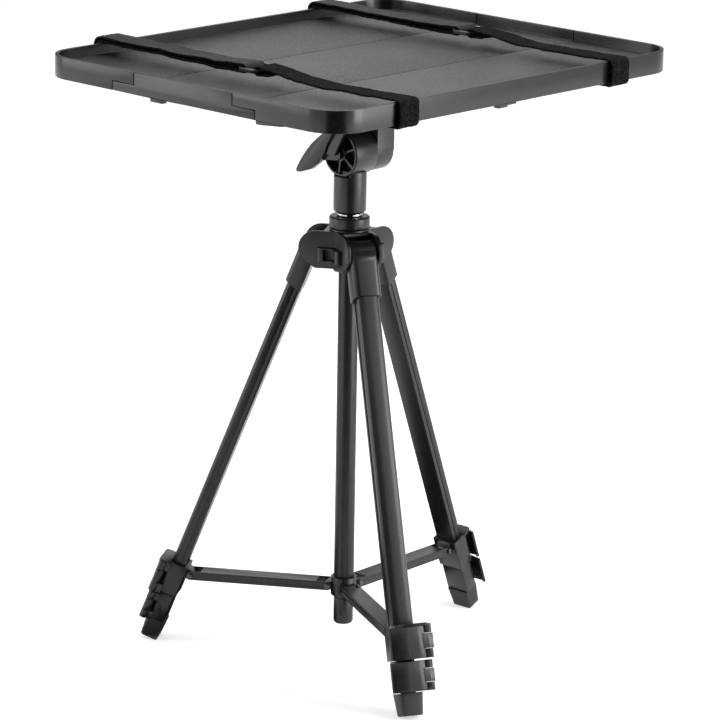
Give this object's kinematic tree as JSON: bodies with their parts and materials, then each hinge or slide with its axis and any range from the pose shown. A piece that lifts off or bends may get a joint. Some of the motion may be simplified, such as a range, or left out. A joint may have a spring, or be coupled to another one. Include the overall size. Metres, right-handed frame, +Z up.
{
  "type": "projector table",
  "caption": "Folding tripod table: a shallow three-panel rimmed tray with tie-down straps on a tilt head, centre column, spreader and telescoping legs.",
  "frame": {"origin": "on the floor under the middle of the tray", "axes": "+X across the tray, along the straps; +Y along the tray; +Z up"},
  "size_m": [0.3461, 0.4096, 0.5286],
  "materials": {
    "tray_plastic": "fine grained moulding",
    "strap_webbing": "hook-and-loop webbing, fuzzy loop side out",
    "moulded_plastic": "satin moulding",
    "dark_plastic": "satin moulding",
    "anodised_tube": "satin grey anodised",
    "polished_ring": "polished",
    "pin_steel": "dark steel",
    "rubber": "matte"
  },
  "bodies": {
    "tripod": {"shoulder": "moulded_plastic", "guide_tube": "anodised_tube", "guide_end_cap": "moulded_plastic"},
    "collar": {"lock_collar": "moulded_plastic"},
    "spreader": {"spreader_hub": "moulded_plastic", "hub_pin_1": "pin_steel", "hub_pin_2": "pin_steel", "hub_pin_3": "pin_steel"},
    "column": {"centre_column": "anodised_tube", "pan_ring": "polished_ring"},
    "head": {"head_neck": "moulded_plastic"},
    "tilt_lever": {"tilt_lever": "dark_plastic"},
    "tray": {"tilt_plate": "moulded_plastic", "tray_centre_panel": "tray_plastic", "tray_left_panel": "tray_plastic", "tray_right_panel": "tray_plastic", "strap_1": "strap_webbing", "strap_2": "strap_webbing", "strap_ring_1": "dark_plastic", "strap_ring_2": "dark_plastic"},
    "strut_1": {"strut_1": "anodised_tube"},
    "leg_1": {"leg_top_1": "moulded_plastic", "upper_tube_1": "anodised_tube", "upper_clamp_1": "moulded_plastic", "bracket_pin_1": "pin_steel"},
    "middle_1": {"middle_tube_1": "anodised_tube", "lower_clamp_1": "moulded_plastic"},
    "lower_1": {"lower_tube_1": "anodised_tube", "foot_1": "rubber"},
    "upper_lever_1": {"upper_lever_1": "dark_plastic"},
    "lower_lever_1": {"lower_lever_1": "dark_plastic"},
    "strut_2": {"strut_2": "anodised_tube"},
    "leg_2": {"leg_top_2": "moulded_plastic", "upper_tube_2": "anodised_tube", "upper_clamp_2": "moulded_plastic", "bracket_pin_2": "pin_steel"},
    "middle_2": {"middle_tube_2": "anodised_tube", "lower_clamp_2": "moulded_plastic"},
    "lower_2": {"lower_tube_2": "anodised_tube", "foot_2": "rubber"},
    "upper_lever_2": {"upper_lever_2": "dark_plastic"},
    "lower_lever_2": {"lower_lever_2": "dark_plastic"},
    "strut_3": {"strut_3": "anodised_tube"},
    "leg_3": {"leg_top_3": "moulded_plastic", "upper_tube_3": "anodised_tube", "upper_clamp_3": "moulded_plastic", "bracket_pin_3": "pin_steel"},
    "middle_3": {"middle_tube_3": "anodised_tube", "lower_clamp_3": "moulded_plastic"},
    "lower_3": {"lower_tube_3": "anodised_tube", "foot_3": "rubber"},
    "upper_lever_3": {"upper_lever_3": "dark_plastic"},
    "lower_lever_3": {"lower_lever_3": "dark_plastic"}
  },
  "joints": [
    {"name": "spreader_slide", "type": "slide", "parent": "tripod", "child": "spreader", "axis": [0, 0, 1], "range_m": [0, 0.10195]},
    {"name": "collar_turn", "type": "hinge", "parent": "tripod", "child": "collar", "pos_m": [-0.0063, -0.0056, 0.3732], "axis": [0, 0, 1], "range_deg": [0, 90]},
    {"name": "column_slide", "type": "slide", "parent": "tripod", "child": "column", "axis": [0, 0, 1], "range_m": [0, 0.25]},
    {"name": "head_pan", "type": "hinge", "parent": "column", "child": "head", "pos_m": [-0.0063, -0.0056, 0.3864], "axis": [0, 0, 1], "continuous": true},
    {"name": "tray_tilt", "type": "hinge", "parent": "head", "child": "tray", "pos_m": [-0.0063, -0.0056, 0.4367], "axis": [0, 1, 0], "range_deg": [-75, 75]},
    {"name": "tilt_lever_turn", "type": "hinge", "parent": "head", "child": "tilt_lever", "pos_m": [-0.0063, -0.0056, 0.4367], "axis": [0, 1, 0], "range_deg": [-30, 60]},
    {"name": "strut_pivot_1", "type": "hinge", "parent": "spreader", "child": "strut_1", "pos_m": [0.00528, -0.0115, 0.06026], "axis": [0.454, 0.891, 0], "range_deg": [0, 87.47]},
    {"name": "leg_pivot_1", "type": "hinge", "parent": "strut_1", "child": "leg_1", "pos_m": [0.11233, -0.06605, 0.06026], "axis": [-0.454, -0.891, 0], "range_deg": [0, 66.27]},
    {"name": "middle_slide_1", "type": "slide", "parent": "leg_1", "child": "middle_1", "axis": [0.3222, -0.1642, -0.9323], "range_m": [0, 0.24]},
    {"name": "lower_slide_1", "type": "slide", "parent": "middle_1", "child": "lower_1", "axis": [0.3222, -0.1642, -0.9323], "range_m": [0, 0.23]},
    {"name": "upper_lever_turn_1", "type": "hinge", "parent": "leg_1", "child": "upper_lever_1", "pos_m": [0.13874, -0.05952, 0.075], "axis": [-0.3222, 0.1642, 0.9323], "range_deg": [0, 100]},
    {"name": "lower_lever_turn_1", "type": "hinge", "parent": "middle_1", "child": "lower_lever_1", "pos_m": [0.14641, -0.065, 0.04708], "axis": [-0.3222, 0.1642, 0.9323], "range_deg": [0, 100]},
    {"name": "strut_pivot_2", "type": "hinge", "parent": "spreader", "child": "strut_2", "pos_m": [-0.00698, 0.00738, 0.06026], "axis": [-0.9986, -0.0523, 0], "range_deg": [0, 87.47]},
    {"name": "leg_pivot_2", "type": "hinge", "parent": "strut_2", "child": "leg_2", "pos_m": [-0.01327, 0.12736, 0.06026], "axis": [0.9986, 0.0523, 0], "range_deg": [0, 66.27]},
    {"name": "middle_slide_2", "type": "slide", "parent": "leg_2", "child": "middle_2", "axis": [-0.0189, 0.3611, -0.9323], "range_m": [0, 0.24]},
    {"name": "lower_slide_2", "type": "slide", "parent": "middle_2", "child": "lower_2", "axis": [-0.0189, 0.3611, -0.9323], "range_m": [0, 0.23]},
    {"name": "upper_lever_turn_2", "type": "hinge", "parent": "leg_2", "child": "upper_lever_2", "pos_m": [-0.03212, 0.14697, 0.075], "axis": [0.0189, -0.3611, 0.9323], "range_deg": [0, 100]},
    {"name": "lower_lever_turn_2", "type": "hinge", "parent": "middle_2", "child": "lower_lever_2", "pos_m": [-0.03121, 0.15635, 0.04708], "axis": [0.0189, -0.3611, 0.9323], "range_deg": [0, 100]},
    {"name": "strut_pivot_3", "type": "hinge", "parent": "spreader", "child": "strut_3", "pos_m": [-0.0172, -0.01268, 0.06026], "axis": [0.5446, -0.8387, 0], "range_deg": [0, 87.47]},
    {"name": "leg_pivot_3", "type": "hinge", "parent": "strut_3", "child": "leg_3", "pos_m": [-0.11796, -0.07812, 0.06026], "axis": [-0.5446, 0.8387, 0], "range_deg": [0, 66.27]},
    {"name": "middle_slide_3", "type": "slide", "parent": "leg_3", "child": "middle_3", "axis": [-0.3033, -0.197, -0.9323], "range_m": [0, 0.24]},
    {"name": "lower_slide_3", "type": "slide", "parent": "middle_3", "child": "lower_3", "axis": [-0.3033, -0.197, -0.9323], "range_m": [0, 0.23]},
    {"name": "upper_lever_turn_3", "type": "hinge", "parent": "leg_3", "child": "upper_lever_3", "pos_m": [-0.12552, -0.10424, 0.075], "axis": [0.3033, 0.197, 0.9323], "range_deg": [0, 100]},
    {"name": "lower_lever_turn_3", "type": "hinge", "parent": "middle_3", "child": "lower_lever_3", "pos_m": [-0.1341, -0.10815, 0.04708], "axis": [0.3033, 0.197, 0.9323], "range_deg": [0, 100]}
  ],
  "couplings": [
    {"joint": "strut_pivot_1", "follows": "spreader_slide", "rad_per_m": 14.967},
    {"joint": "leg_pivot_1", "follows": "spreader_slide", "rad_per_m": 11.337},
    {"joint": "strut_pivot_2", "follows": "spreader_slide", "rad_per_m": 14.967},
    {"joint": "leg_pivot_2", "follows": "spreader_slide", "rad_per_m": 11.337},
    {"joint": "strut_pivot_3", "follows": "spreader_slide", "rad_per_m": 14.967},
    {"joint": "leg_pivot_3", "follows": "spreader_slide", "rad_per_m": 11.337}
  ]
}
